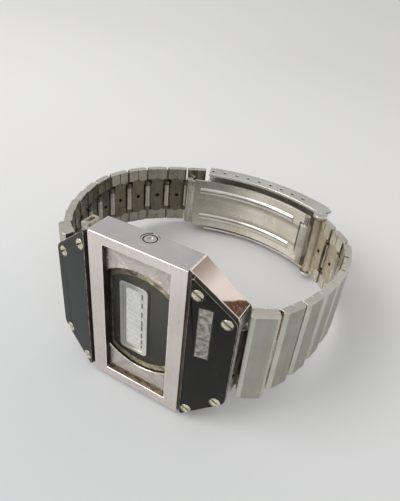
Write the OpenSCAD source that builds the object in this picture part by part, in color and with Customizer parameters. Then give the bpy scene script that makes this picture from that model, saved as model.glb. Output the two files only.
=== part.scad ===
// Digital wrist watch on a folded link bracelet, standing on its side.
// Lengths in millimetres. Built in the frame of the dial, then leaned as it stands.
// Built upright as: x from 12 to 6 o'clock, y from the dial front to the clasp, z to 3 o'clock.

/* [Case] */
// length of the middle block along the display
case_length = 36; // [35:0.5:37]
// width of the middle block
block_width = 20.95; // [20:0.05:22]
// depth of the block, front to back
block_depth = 6.1; // [5.9:0.1:6.6]
// reach of each sloping wing past the block
wing_reach = 9.07; // [8.8:0.01:9.6]
// height of the wing at its outer end
wing_end_height = 21.2; // [20.6:0.1:22]

/* [Window] */
// width of the front recess
window_width = 14.5; // [13.5:0.1:15]
// length of the front recess
window_length = 31.6; // [30:0.1:32]
// radius of the round cut-out under the window
cutout_radius = 12.1; // [11.5:0.05:12.2]

/* [Bracelet] */
// distance between two hinges of the bracelet
link_pitch = 5.6; // [5.5:0.02:5.7]
// bracelet width next to the case
strap_width_case = 21; // [20:0.2:21]
// bracelet width next to the clasp
strap_width_clasp = 16; // [15.6:0.2:17]
// radius of the rolled hinges
roll_radius = 0.9; // [0.82:0.02:0.92]

/* [Clasp] */
// width of the inner blade
blade_width = 14.2; // [13:0.2:14.4]
// number of setting holes in each side wall
hole_count = 9; // [5:1:9]

/* [Buttons] */
// radius of the push-piece head
button_radius = 1.75; // [1.5:0.05:1.9]

/* [Hidden] */
$fn = 48;

STEEL = [0.78, 0.77, 0.75];
DARK = [0.10, 0.10, 0.10];
BRASS = [0.72, 0.60, 0.34];

// clearances
run_gap = 0.05;
slip_gap = 0.1;

// case sizes
bx = block_width / 2;
bz = case_length / 2;
wx = bx + wing_reach;
wz = wing_end_height / 2;
wing_front_0 = 0.65;
wing_front_1 = 2.6;
wing_back_1 = block_depth + 0.9;
wing_slope = atan((wing_front_1 - wing_front_0) / wing_reach);
wing_run = wing_reach / cos(wing_slope);
recess_depth = 1.2;
wx2 = window_width / 2;
cavity_top = 2.6;
cavity_radius = 12.6;
back_y = block_depth;
back_radius = 13.5;
back_plate = 1.2;
boss_radius = 11;
back_total = 2.4;

// plates and screws
plate_thickness = 1.1;
plate_in = 0.6;
plate_out = wing_run + 0.13;
plate_corner = 0.9;
head_radius = 1.05;
head_height = 0.6;
shank_radius = 0.55;
shank_length = 2.4;
screw_in = 1.9;
screw_out = wing_run - 1.75;
screw_top = 2.45;
screw_low = 1.25;
function wing_half(s) = bz + (wz - bz) * s / wing_run;

// push-piece
button_x = 0.1;
button_y = 4.3 * block_depth / 6.1;
button_well = 1.7;
stem_radius = 0.7;
stem_end = 11.95;
clip_radius = 0.95;
clip_low = 12.2;
clip_high = 12.5;

// corrector
cor_x = -(wx - 3.3);
cor_half = 0.9;
cor_y0 = block_depth - 0.5;
cor_y1 = block_depth + 3.0;
cor_top = bz - 3.5;
cor_low = 9.2;
cor_hole = 0.5;
cor_slot = 1.2;
cor_floor = 1;

// spring bars of the case
bar_x = wx - 1.345;
bar_y = block_depth - 0.3;
bar_radius = 0.75;
bar_half = 6.1;
tip_radius = 0.45;
tip_half = 7.0;
notch_half = 6.25;

// bracelet
first_pitch = 6.9;
hw_case = strap_width_case / 2;
hw_clasp = strap_width_clasp / 2;
taper = [1, 0.8, 0.56, 0.32, 0.16, 0.04, 0, 0, 0, 0];
function half_width(i) = hw_clasp + (hw_case - hw_clasp) * taper[i];
head_12 = [145.1, 127, 119.7, 112, 105.2, 93.3, 71.6, 57.5, 43, 35.3];
head_6 = [147.7, 116.6, 106.6, 98.8, 95.3, 84.1, 72.4, 46.3];
function pitch(i) = i == 0 ? first_pitch : link_pitch;
function hinge(h, i) = i == 0 ? [-bar_x, bar_y]
  : hinge(h, i - 1) + pitch(i - 1) * [cos(h[i - 1]), sin(h[i - 1])];
end_12 = hinge(head_12, 10);
end_6 = hinge(head_6, 8);
bar_low = roll_radius + 0.05;
bar_high = 1.7;
first_high = 2.9;
bevel_drop = 0.5;
bevel_in = 0.8;
bevel_out = 0.6;
half_gap = 0.15;
first_start = 1.5;
cap_in = 4.75;
cap_low = 0;
first_cap_low = 0.4;
cap_gap = 0.3;
knuckle_half = 3.3;
ear_in = 3.4;
ear_out = 4.5;
slat_low = 0;
slat_high = 0.5;
slat_window = 0.45;
pin_radius = 0.38;
pin_bore = 0.42;
eye_radius = 1.15;
eye_half = 5.9;
seam_width = 0.23;

// clasp
blade_r0 = 38;
blade_t = 0.6;
blade_gap = 0.6;
cover_rise = 3;
cover_t = 0.8;
mid_r0 = blade_r0 + blade_t + blade_gap;
cover_r0 = mid_r0 + blade_t + cover_rise;
cover_r1 = cover_r0 + cover_t;
bw = blade_width / 2;
wall_gap = 0.2;
wall_t = 0.7;
wall_in = hw_clasp + wall_gap;
wall_out = wall_in + wall_t;
// reaches along the blade from its highest spot, and rises over the blade
end_reach = 19.68;
end_rise = 4.31;
cover_reach_12 = 13.93;
cover_reach_6 = 17.77;
function along(d) = 90 + d / blade_r0 * 180 / PI;
function spot(r, a) = r * [cos(a), sin(a)];
clasp_mid = end_12 - spot(blade_r0 + end_rise, along(end_reach));
cover_a0 = along(-cover_reach_6);
cover_a1 = along(cover_reach_12);
// spring bar of the 6 side
end_bar_reach = cover_reach_6 + 1.24;
end_bar_rise = 0.98;
end_bar = clasp_mid + spot(blade_r0 + end_bar_rise, along(-end_bar_reach));
nose_radius = 1.7;
// pivot strip between the two blades
strip_reach = cover_reach_6 - 1.63;
strip_rise = 0.09;
strip_radius = 0.7;
strip_at = clasp_mid + spot(blade_r0 + strip_rise, along(-strip_reach));
hook_radius = 1.3;
hook_half = 4.4;
hook_reach = 4.2;
slot_half = hook_half + 0.2;
slot_reach = 1.95;
slot_over = 1.3;
// folding hinge of the cover
fold_drop = 1.3;
fold_reach = cover_reach_12 - 0.73;
fold_at = clasp_mid + spot(cover_r0 - fold_drop, along(fold_reach));
fold_radius = 0.95;
fold_half = 4.7;
fold_pin = 0.42;
fold_ear = 1.4;
mid_reach = fold_reach - 2.5;
// folded end of the inner blade and the catch block
tail_reach = end_reach - 0.77;
tail_rise = 1.38;
tail_radius = 0.9;
tail_at = clasp_mid + spot(blade_r0 + tail_rise, along(tail_reach));
blade_a0 = along(-strip_reach + 0.22);
blade_a1 = along(end_reach - 2.3);
catch_heading = 33;
catch_length = 5.35;
catch_u = 2.3;
catch_dir = [cos(catch_heading), sin(catch_heading)];
catch_foot = end_12 + catch_u * catch_dir
  + (slat_low + slat_high) / 2 * [-catch_dir[1], catch_dir[0]];
// ribs on the wrist side, part of a round wire
rib_z = 4;
rib_half = 1;
rib_rise = 0.5;
rib_radius = (rib_half * rib_half + rib_rise * rib_rise) / (2 * rib_rise);
rib_a0 = along(-strip_reach + hook_reach);
rib_a1 = along(end_reach - 4);
// setting holes of the cover
hole_radius = 0.45;
hole_step = 3.05;
hole_drop = 1.5;
hole_start = cover_reach_12 - 0.93;
last_vec = [-end_bar[0], end_bar[1]] - end_6;
last_head = atan2(last_vec[1], last_vec[0]);
last_pitch = norm(last_vec);

// lean and place
lean = atan((bz - wall_out) / (clasp_mid[1] + cover_r1 - block_depth));
low_z = -block_depth * sin(lean) - bz * cos(lean);
function edge_x(h, i) = min([for (u = [half_gap + bevel_in, pitch(i) - half_gap - bevel_out])
  hinge(h, i)[0] + u * cos(h[i]) - bar_high * sin(h[i])]);
low_x = min([for (i = [1:9]) edge_x(head_12, i)]);
high_x = -min([for (i = [1:7]) edge_x(head_6, i)]);
function plate_y(s, z) = (wing_front_0 + s * sin(wing_slope)
  - plate_thickness * cos(wing_slope)) * cos(lean) - z * sin(lean);
near_y = min(plate_y(plate_in, wing_half(plate_in) - 0.55),
  plate_y(plate_in + 0.4, wing_half(plate_in) - 0.3), -bz * sin(lean));
far_y = (clasp_mid[1] + cover_r1) * cos(lean) + wall_out * sin(lean);
shift_x = -(low_x + high_x) / 2;
shift_y = -(near_y + far_y) / 2;
module place() {
  translate([shift_x, shift_y, -low_z]) rotate([-lean, 0, 0]) children();
}

// helpers
module flat_y(y0, y1) {
  // drawing in x and z, thickness along y
  translate([0, y1, 0]) rotate([90, 0, 0]) linear_extrude(y1 - y0) children();
}
module side(s) { mirror([s > 0 ? 0 : 1, 0, 0]) children(); }
module rod(r, h) { cylinder(r = r, h = 2 * h, center = true); }
module bar(h) { linear_extrude(2 * h, center = true) children(); }
module box(x0, x1, y0, y1, z0, z1) {
  translate([x0, y0, z0]) cube([x1 - x0, y1 - y0, z1 - z0]);
}
module both() { children(); mirror([0, 0, 1]) children(); }
module sector(r0, r1, a0, a1) {
  // ring piece about the clasp centre
  far = 2 * r1;
  translate(clasp_mid) intersection() {
    difference() { circle(r = r1, $fn = 180); circle(r = r0, $fn = 180); }
    polygon([[0, 0], spot(far, a0), spot(1.1 * far, (a0 + a1) / 2), spot(far, a1)]);
  }
}
module cut_circle(r, half) {
  intersection() { circle(r = r, $fn = 96); square([2 * half, 2 * r + 2], center = true); }
}
function rounded(w, h, r) = [for (k = [0:3]) for (j = [0:4])
  let (a = 90 * k + 22.5 * j, cx = (k == 0 || k == 3 ? 1 : -1) * (w / 2 - r),
    cy = (k < 2 ? 1 : -1) * (h / 2 - r)) [cx + r * cos(a), cy + r * sin(a)]];
module on_wing(s) {
  // x runs out along the sloping face, minus y points away from it
  side(s) translate([bx, wing_front_0, 0]) rotate([0, 0, wing_slope]) children();
}
module screw_spots() {
  for (s = [screw_in, screw_out]) {
    translate([s, 0, wing_half(s) - screw_top]) children();
    translate([s, 0, screw_low - wing_half(s)]) children();
  }
}
module drill_y(r, y0, y1) {
  translate([0, y1, 0]) rotate([90, 0, 0]) cylinder(r = r, h = y1 - y0);
}

// case
module case_solid() {
  box(-bx, bx, 0, block_depth, -bz, bz);
  for (s = [-1, 1]) side(s) intersection() {
    bar(bz) polygon([[bx - 1, wing_front_0 - 0.2], [bx, wing_front_0], [wx, wing_front_1],
      [wx, wing_back_1], [bx, block_depth], [bx - 1, block_depth]]);
    flat_y(-1, block_depth + 3) polygon([[bx - 1, bz], [bx, bz], [wx, wz], [wx, -wz],
      [bx, -bz], [bx - 1, -bz]]);
  }
}
module case_body() {
  difference() {
    case_solid();
    flat_y(-1, recess_depth) square([window_width, window_length], center = true);
    flat_y(recess_depth - 0.5, cavity_top + 0.1) cut_circle(cutout_radius, wx2);
    flat_y(cavity_top, block_depth + 3) circle(r = cavity_radius, $fn = 96);
    flat_y(block_depth, block_depth + 3) circle(r = back_radius + slip_gap, $fn = 96);
    // groove of the back gasket
    flat_y(block_depth - 0.5, block_depth + 0.1) circle(r = 13.25, $fn = 96);
    // screw holes
    for (s = [-1, 1]) on_wing(s) screw_spots() drill_y(shank_radius + 0.03, -0.5, 2.6);
    // spring bar notches and holes
    for (s = [-1, 1]) side(s) {
      box(bar_x - 1.4, wx + 1, bar_y - 1.45, wing_back_1 + 1, -notch_half, notch_half);
      translate([bar_x, bar_y, 0]) rod(tip_radius + run_gap, tip_half + 0.2);
    }
    // push-piece bore, seal groove and well
    translate([button_x, button_y, 0]) {
      translate([0, 0, 11]) cylinder(r = stem_radius + run_gap, h = 8);
      translate([0, 0, bz - 3.1]) cylinder(r = 1.2, h = 0.7);
      translate([0, 0, bz - button_well]) cylinder(r = button_radius + run_gap, h = 3);
    }
    // seat of the corrector block
    box(cor_x - cor_half - 0.03, cor_x + cor_half + 0.03, cor_y0 - 0.02, cor_y1 + 1,
      cor_low - 0.02, bz);
  }
}
module case_back() {
  difference() {
    union() {
      flat_y(back_y, back_y + back_plate) circle(r = back_radius, $fn = 96);
      flat_y(back_y + 0.5, back_y + back_total) circle(r = boss_radius, $fn = 96);
      flat_y(back_y - 0.7, back_y + 0.5) circle(r = cavity_radius - 0.06, $fn = 96);
    }
    flat_y(back_y - 1, back_y + 0.6) circle(r = 11.6, $fn = 96);
    flat_y(back_y, back_y + back_total - 0.6) circle(r = 10.2, $fn = 96);
    // key notches in the rim
    for (k = [0:5]) rotate([0, 60 * k + 30, 0])
      box(12.2, 14.2, back_y + 0.5, back_y + 3, -0.9, 0.9);
  }
}
module back_gasket() {
  flat_y(back_y - 0.48, back_y) difference() {
    circle(r = 13.2, $fn = 96);
    circle(r = 12.75, $fn = 96);
  }
}

// inside
holder_y0 = cavity_top + 0.05;
holder_y1 = block_depth - 1.35;
board_y1 = holder_y1 + 0.6;
lcd_x = -1.4;
lcd_w = 5.6;
lcd_l = 16.4;
lcd_y0 = 1.8;
lcd_y1 = 2.9;
dial_y0 = 2.0;
dial_y1 = 2.35;
strip_x = 2.1;
frame_y0 = 1.45;
frame_step = 1.62;
ring_y0 = 1.7;
ring_gap = 0.25;
ring_width = 1.2;
module movement_holder() {
  difference() {
    union() {
      flat_y(holder_y0, holder_y1) circle(r = 12.4, $fn = 96);
      flat_y(dial_y1, holder_y0 + 0.2) cut_circle(cutout_radius - 0.15, wx2 - 0.15);
    }
    flat_y(dial_y1 - 1, lcd_y1 + 0.05) translate([lcd_x, 0])
      square([lcd_w + 0.2, lcd_l + 0.2], center = true);
    for (m = [-1, 1]) flat_y(lcd_y1 - 0.5, holder_y1 + 1) translate([lcd_x + m * strip_x, 0])
      square([1.1, 15.1], center = true);
    // bay of the quartz can
    flat_y(holder_y1 - 1.65, holder_y1 + 1) translate([6.5, 0]) square([2.1, 6.4], center = true);
    // bay of the push-piece stem and its contact
    box(button_x - 1.7, button_x + 1.7, holder_y0 + 0.45, holder_y1 + 1, 10.75, 13);
  }
}
module circuit_board() {
  flat_y(holder_y1, board_y1) difference() {
    circle(r = 11.4, $fn = 96);
    translate([button_x, 12.35]) square([3.4, 3.2], center = true);
  }
}
module quartz_can() {
  translate([6.5, holder_y1 - 0.82, 0]) rod(0.8, 3.0);
}
module button_cells() {
  for (m = [-1, 1]) flat_y(board_y1, board_y1 + 1.9) translate([0, m * 4.4])
    circle(r = 3.9, $fn = 60);
}
module cell_strap() {
  flat_y(board_y1 + 1.9, board_y1 + 2.1) difference() {
    square([4, 17], center = true);
    for (m = [-1, 1]) translate([0, 4.4 * m]) circle(r = 0.8);
  }
  for (m = [-1, 1]) box(-2, 2, board_y1, board_y1 + 2.0, m > 0 ? 8.35 : -8.5, m > 0 ? 8.5 : -8.35);
}
module contact_strips() {
  for (m = [-1, 1]) flat_y(lcd_y1, holder_y1) translate([lcd_x + m * strip_x, 0])
    square([1.0, 15], center = true);
}
module contact_leaf() {
  box(button_x - 1.4, button_x + 1.4, holder_y0 + 0.6, holder_y1, 11.15, 11.3);
  box(button_x - 1.4, button_x + 1.4, holder_y1 - 0.15, holder_y1, 10.8, 11.3);
}
module lcd_panel() {
  flat_y(lcd_y0, lcd_y1) translate([lcd_x, 0]) square([lcd_w, lcd_l], center = true);
}
module lcd_frame() {
  // a wide rim round the panel and two ledges that step down to the glass
  translate([lcd_x, 0, 0]) {
    flat_y(frame_y0, dial_y0) difference() {
      polygon(rounded(lcd_w + 0.8, lcd_l + 0.8, 0.9));
      square([lcd_w + 0.06, lcd_l + 0.06], center = true);
    }
    flat_y(frame_y0, frame_step) difference() {
      polygon(rounded(lcd_w + 0.7, lcd_l + 0.7, 0.9));
      polygon(rounded(lcd_w - 0.5, lcd_l - 0.5, 0.8));
    }
    flat_y(frame_step, lcd_y0) difference() {
      polygon(rounded(lcd_w + 0.7, lcd_l + 0.7, 0.9));
      polygon(rounded(lcd_w - 1.5, lcd_l - 1.7, 0.7));
    }
  }
}
module dial_mask() {
  flat_y(dial_y0, dial_y1) difference() {
    cut_circle(cutout_radius - 0.12, wx2 - 0.12);
    translate([lcd_x, 0]) square([lcd_w + 0.06, lcd_l + 0.06], center = true);
  }
}
module gasket_ring() {
  flat_y(ring_y0, dial_y0) difference() {
    cut_circle(cutout_radius - ring_gap, wx2 - ring_gap);
    cut_circle(cutout_radius - ring_gap - ring_width, wx2 - 0.7);
  }
}
module window_glass() {
  flat_y(0.4, recess_depth) square([window_width - 0.1, window_length - 0.1], center = true);
}

// plates
module plate_shape() {
  h0 = wing_half(plate_in) - 0.05;
  h1 = wing_half(plate_out) - 0.05;
  c = plate_corner;
  polygon([[plate_in, h0 - 0.5], [plate_in + 0.4, h0 - 0.25], [plate_out - c, h1 + 0.6],
    [plate_out - 0.25, h1 - 0.1], [plate_out, h1 - c], [plate_out, -h1 + c],
    [plate_out - 0.25, -h1 + 0.1], [plate_out - c, -h1 - 0.6], [plate_in + 0.4, -h0 + 0.25],
    [plate_in, -h0 + 0.5]]);
}
module plate(s) {
  on_wing(s) difference() {
    flat_y(-plate_thickness, 0) plate_shape();
    screw_spots() {
      drill_y(shank_radius + slip_gap, -2, 1);
      drill_y(head_radius + 0.03, -2, -plate_thickness + head_height);
    }
    if (s > 0) name_pocket();
  }
}
strip_in = 2.55;
strip_width = 2.4;
strip_z0 = 0.2;
strip_z1 = 11.6;
module name_pocket() {
  box(strip_in - 0.03, strip_in + strip_width + 0.03, -2, -plate_thickness + 0.2,
    strip_z0 - 0.03, strip_z1 + 0.03);
}
module name_strip() {
  on_wing(1) box(strip_in, strip_in + strip_width, -plate_thickness - 0.1,
    -plate_thickness + 0.2, strip_z0, strip_z1);
}
module plate_screws(s) {
  on_wing(s) screw_spots() difference() {
    union() {
      drill_y(head_radius, -plate_thickness, -plate_thickness + head_height);
      drill_y(shank_radius, -plate_thickness + head_height - 0.1, shank_length);
    }
    rotate([0, 35, 0]) box(-2, 2, -2, -plate_thickness + 0.28, -0.17, 0.17);
  }
}

// push-piece and corrector
module pusher() {
  translate([button_x, button_y, 0]) {
    difference() {
      translate([0, 0, bz - 1.1]) cylinder(r = button_radius, h = 1.0);
      translate([0, 0, bz - 0.3]) difference() {
        cylinder(r = button_radius - 0.35, h = 1);
        translate([0, 0, -1]) cylinder(r = button_radius - 0.6, h = 3);
      }
      translate([0, 0, bz - 0.3]) cylinder(r = 0.55, h = 1);
    }
    translate([0, 0, stem_end]) cylinder(r = stem_radius, h = bz - 1 - stem_end);
    translate([0, 0, clip_low]) cylinder(r = clip_radius, h = clip_high - clip_low);
  }
}
module pusher_seal() {
  translate([button_x, button_y, bz - 3.08]) difference() {
    cylinder(r = 1.18, h = 0.66);
    translate([0, 0, -1]) cylinder(r = stem_radius + 0.02, h = 3);
  }
}
module stadium(r, run, h) {
  // upright, rounded at both ends along y
  for (m = [-1, 1]) translate([0, m * run / 2, 0]) cylinder(r = r, h = h);
  box(-r, r, -run / 2, run / 2, 0, h);
}
cor_mid = (cor_y0 + cor_y1) / 2;
module corrector_block() {
  difference() {
    box(cor_x - cor_half, cor_x + cor_half, cor_y0, cor_y1, cor_low, cor_top);
    translate([cor_x, cor_mid, cor_low + cor_floor])
      stadium(cor_hole, cor_slot, cor_top - cor_low);
  }
}
module corrector_pin() {
  translate([cor_x, cor_mid, cor_low + cor_floor + 0.6])
    stadium(cor_hole - run_gap, cor_slot, cor_top - cor_low - cor_floor - 1.2);
}
module spring_bar(s) {
  side(s) translate([bar_x, bar_y, 0]) {
    rod(bar_radius, bar_half);
    rod(tip_radius, tip_half);
  }
}

// bracelet links, drawn with x from hinge to hinge and y outward
module flat_top(u0, u1, w, top, slant = 0) {
  bar(w) polygon([[u0 + slant, bar_low], [u0, top - bevel_drop], [u0 + bevel_in, top],
    [u1 - bevel_out, top], [u1, top - bevel_drop], [u1, bar_low]]);
}
module folded_ends(u0, u1, low, w) {
  // an end wall on each side, with the seam of its fold
  both() difference() {
    box(u0, u1, low, bar_low + 0.1, cap_in, w);
    box((u0 + u1 - seam_width) / 2, (u0 + u1 + seam_width) / 2, low - 1, low + 0.3,
      cap_in + 0.5, w + 1);
  }
}
module knuckle() {
  rod(roll_radius, knuckle_half);
  box(half_gap, roll_radius + 0.1, 0, bar_low + 0.1, -knuckle_half, knuckle_half);
}
module ear_room() {
  // clearance for the ears of the link before
  both() box(-1, roll_radius + 0.25, slat_low - 1, roll_radius, ear_in - 0.05, cap_in + 0.1);
}
module link_core(w, p, first, last, ears) {
  start = first ? first_start : half_gap;
  slant = first ? 0.35 : 0;
  difference() {
    union() {
      flat_top(start, p - half_gap, w, first ? first_high : bar_high, slant);
      folded_ends(start + slant + 0.2, p - cap_gap, first ? first_cap_low : cap_low, w);
      box(0, p - roll_radius - 0.25, slat_low, slat_high, -cap_in - 0.1, cap_in + 0.1);
      if (first) {
        rod(eye_radius, eye_half);
        box(0, start + 1.5, -0.7, bar_low + 0.1, -eye_half, eye_half);
      } else knuckle();
      if (ears) both() {
        translate([p, 0, ear_in]) cylinder(r = roll_radius, h = ear_out - ear_in);
        box(p - 1.7, p - cap_gap, slat_low, bar_low + 0.1, ear_in, ear_out);
      }
      if (last) {
        translate([p, 0, 0]) rod(eye_radius, hw_clasp - 0.4);
        box(p - 2.2, p, slat_low, slat_high + 0.4, -cap_in, cap_in);
      }
    }
    if (first) rod(bar_radius + run_gap, 2 * eye_half);
    else rod(pin_bore, ear_out + 0.1);
    if (ears) translate([p, 0, 0]) rod(pin_bore, ear_out + 0.1);
    if (last) {
      translate([p, 0, 0]) rod(bar_radius + run_gap, 2 * hw_clasp);
      // open hook: nothing behind the hinge line
      box(-2, 0.1, -2, 2, -hw_clasp - 1, hw_clasp + 1);
    }
    if (!first) ear_room();
    // square hole of the slat
    if (!first) box(p / 2 - slat_window, p / 2 + slat_window, slat_low - 1, slat_high + 0.1,
      -slat_window, slat_window);
  }
  if (ears) translate([p, 0, 0]) rod(pin_radius, ear_out - 0.1);
}
module link_at(s, i) {
  h = s < 0 ? head_12 : head_6;
  side(-s) translate(hinge(h, i)) rotate([0, 0, h[i]])
    link_core(half_width(i), pitch(i), i == 0, false, !(s > 0 && i == 7));
}
module last_link() {
  mirror([1, 0, 0]) translate(end_6) rotate([0, 0, last_head])
    link_core(hw_clasp, last_pitch, false, true, false);
}

// clasp
module strut(a, b, t) {
  d = (b - a) / norm(b - a);
  n = [-d[1], d[0]] * t / 2;
  polygon([a + n, b + n, b - n, a - n]);
}
module catch_block() {
  // carried like a link by the last link of the 12 side
  difference() {
    union() {
      flat_top(half_gap, catch_length, hw_clasp, bar_high);
      folded_ends(cap_gap, catch_length - 0.2, cap_low, hw_clasp);
      box(0, catch_length - 0.8, slat_low, slat_high, -cap_in - 0.1, cap_in + 0.1);
      knuckle();
    }
    rod(pin_bore, ear_out + 0.1);
    ear_room();
  }
}
module rib(a0, a1) {
  // a bent round wire, cut off inside the blade
  translate([clasp_mid[0], clasp_mid[1], rib_z]) rotate([0, 0, a0])
    rotate_extrude(angle = a1 - a0, $fn = 180) intersection() {
      translate([blade_r0 - rib_rise + rib_radius, 0]) circle(r = rib_radius);
      translate([blade_r0 - rib_rise - 0.1, -2 * rib_half])
        square([rib_rise + blade_t / 2, 4 * rib_half]);
    }
}
module clasp_blade_inner() {
  blade_mid = blade_r0 + blade_t / 2;
  difference() {
    bar(bw) sector(blade_r0, blade_r0 + blade_t, blade_a0, blade_a1);
    // slot of the middle blade
    bar(slot_half) sector(blade_r0 - slot_over, blade_r0 + blade_t + slot_over,
      along(-strip_reach + 0.37), along(-strip_reach + slot_reach));
  }
  translate(strip_at) rod(strip_radius, bw);
  translate(tail_at) rod(tail_radius, bw - 0.4);
  bar(bw - 0.4) strut(clasp_mid + spot(blade_mid, blade_a1 - 0.2), tail_at, blade_t);
  bar(bw - 1.1) strut(tail_at, catch_foot, blade_t + 0.1);
  both() rib(rib_a0, rib_a1);
  translate(end_12) rotate([0, 0, catch_heading]) catch_block();
}
module clasp_blade_middle() {
  wide = bw - 0.6;
  difference() {
    union() {
      bar(hook_half) sector(mid_r0, mid_r0 + blade_t, along(-strip_reach),
        along(-strip_reach + hook_reach));
      bar(wide) sector(mid_r0, mid_r0 + blade_t, along(-strip_reach + hook_reach - 0.6),
        along(mid_reach));
      bar(wide) strut(clasp_mid + spot(mid_r0 + blade_t / 2, along(mid_reach - 0.15)),
        fold_at, blade_t);
      translate(fold_at) rod(fold_radius, fold_half);
      translate(strip_at) rod(hook_radius, hook_half);
    }
    translate(strip_at) rod(strip_radius + 0.06, bw + 2);
    translate(fold_at) rod(fold_pin + 0.08, bw + 2);
    // room for the ears of the cover
    both() translate([fold_at[0], fold_at[1], fold_half])
      cylinder(r = fold_radius + 0.55, h = bw);
  }
}
module clasp_cover() {
  difference() {
    union() {
      bar(wall_out) sector(cover_r0, cover_r1, cover_a0, cover_a1);
      both() translate([0, 0, wall_in]) linear_extrude(wall_t) {
        sector(mid_r0, cover_r0 + 0.2, along(-cover_reach_6 - 1.06), cover_a1);
        translate(end_bar) circle(r = nose_radius);
      }
      // ears of the folding hinge
      both() translate([0, 0, fold_half + slip_gap]) linear_extrude(fold_ear) {
        translate(fold_at) circle(r = fold_radius);
        strut(fold_at, clasp_mid + spot(cover_r0 + 0.3, along(fold_reach)), 1.5);
      }
    }
    translate(fold_at) rod(fold_pin + 0.03, fold_half + fold_ear + 0.05);
    translate(end_bar) rod(tip_radius + run_gap, 2 * wall_out);
    for (k = [0:hole_count - 1])
      translate(clasp_mid + spot(cover_r0 - hole_drop, along(hole_start - hole_step * k)))
        both() translate([0, 0, wall_in - 0.5]) cylinder(r = hole_radius, h = wall_t + 1);
  }
}
module clasp_pin() { translate(fold_at) rod(fold_pin, fold_half + fold_ear); }
module clasp_spring_bar() {
  translate(end_bar) {
    rod(bar_radius, wall_in - 0.05);
    rod(tip_radius, wall_out - 0.05);
  }
}

module draw(c) { color(c) place() children(); }
draw(STEEL) case_body();
draw(STEEL) case_back();
draw(DARK) back_gasket();
draw([0.5, 0.5, 0.5]) movement_holder();
draw([0.1, 0.35, 0.2]) circuit_board();
draw(STEEL) quartz_can();
draw(STEEL) button_cells();
draw(BRASS) cell_strap();
draw(DARK) contact_strips();
draw(BRASS) contact_leaf();
draw([0.6, 0.62, 0.58]) lcd_panel();
draw(STEEL) lcd_frame();
draw(DARK) dial_mask();
draw(BRASS) gasket_ring();
draw([0.8, 0.9, 0.95, 0.4]) window_glass();
draw(DARK) plate(-1);  // plate_12
draw(DARK) plate(1);  // plate_6
draw(BRASS) plate_screws(-1);  // plate_screws_12
draw(BRASS) plate_screws(1);  // plate_screws_6
draw(STEEL) name_strip();
draw(STEEL) pusher();
draw(DARK) pusher_seal();
draw(BRASS) corrector_block();
draw(STEEL) corrector_pin();
draw(STEEL) spring_bar(-1);  // spring_bar_12
draw(STEEL) spring_bar(1);  // spring_bar_6
draw(STEEL) link_at(-1, 0);  // link_12_01
draw(STEEL) link_at(-1, 1);  // link_12_02
draw(STEEL) link_at(-1, 2);  // link_12_03
draw(STEEL) link_at(-1, 3);  // link_12_04
draw(STEEL) link_at(-1, 4);  // link_12_05
draw(STEEL) link_at(-1, 5);  // link_12_06
draw(STEEL) link_at(-1, 6);  // link_12_07
draw(STEEL) link_at(-1, 7);  // link_12_08
draw(STEEL) link_at(-1, 8);  // link_12_09
draw(STEEL) link_at(-1, 9);  // link_12_10
draw(STEEL) link_at(1, 0);  // link_6_01
draw(STEEL) link_at(1, 1);  // link_6_02
draw(STEEL) link_at(1, 2);  // link_6_03
draw(STEEL) link_at(1, 3);  // link_6_04
draw(STEEL) link_at(1, 4);  // link_6_05
draw(STEEL) link_at(1, 5);  // link_6_06
draw(STEEL) link_at(1, 6);  // link_6_07
draw(STEEL) link_at(1, 7);  // link_6_08
draw(STEEL) last_link();  // link_6_09
draw(STEEL) clasp_blade_inner();
draw(STEEL) clasp_blade_middle();
draw(STEEL) clasp_cover();
draw(STEEL) clasp_pin();
draw(STEEL) clasp_spring_bar();
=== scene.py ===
"""Looks for the digital watch: materials, display marks, light, floor and camera."""
import math
import random

import bpy
from mathutils import Matrix, Vector


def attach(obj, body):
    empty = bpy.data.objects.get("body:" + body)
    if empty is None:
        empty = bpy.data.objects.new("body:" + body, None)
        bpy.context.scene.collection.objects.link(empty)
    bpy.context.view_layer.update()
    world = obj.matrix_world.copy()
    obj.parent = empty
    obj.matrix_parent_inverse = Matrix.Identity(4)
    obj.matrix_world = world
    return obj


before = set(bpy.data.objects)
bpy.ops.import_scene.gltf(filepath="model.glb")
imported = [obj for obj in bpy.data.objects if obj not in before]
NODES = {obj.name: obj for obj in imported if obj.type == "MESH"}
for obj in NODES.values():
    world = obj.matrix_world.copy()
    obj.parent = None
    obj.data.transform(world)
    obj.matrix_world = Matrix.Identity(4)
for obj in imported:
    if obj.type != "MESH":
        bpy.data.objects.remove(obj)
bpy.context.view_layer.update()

# The watch is drawn in the frame of its dial (x to 6 o'clock, y to the clasp, z to 3 o'clock),
# then leaned about X and moved, as in the CAD source. Lengths in millimetres.
LEAN = math.radians(9.724256)
SHIFT = Vector((2.204571, -28.346444, 18.771708))
MM = 0.001
X, Z = 0, 2

# The case, from the CAD source: its length runs along z, and a wing reaches out to each side in x
HALF_LENGTH = 18
HALF_BLOCK = 10.475
WING_REACH, WING_DROP, WING_TAPER = 9.07, 1.95, 7.4
WING_FRONT = 0.65
PLATE_THICKNESS = 1.1
RECESS_X, RECESS_Z, RECESS_DEPTH = 7.25, 15.8, 1.2
CUTOUT_RADIUS = 12.1
BUTTON_X, BUTTON_Y = 0.1, 4.3
NOTCH_HALF = 6.25
CORRECTOR_LOW = (-17.145, 5.6, 9.2)
CORRECTOR_HIGH = (-15.345, 9.1, 14.5)

# Limits just outside the bore, the push-piece's well and the notches for the bracelet's ends
BORE_REACH = 13.9
WELL_REACH, WELL_FLOOR = 1.9, 15.5
NOTCH_START, NOTCH_FRONT = 16.5, 4.3

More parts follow.
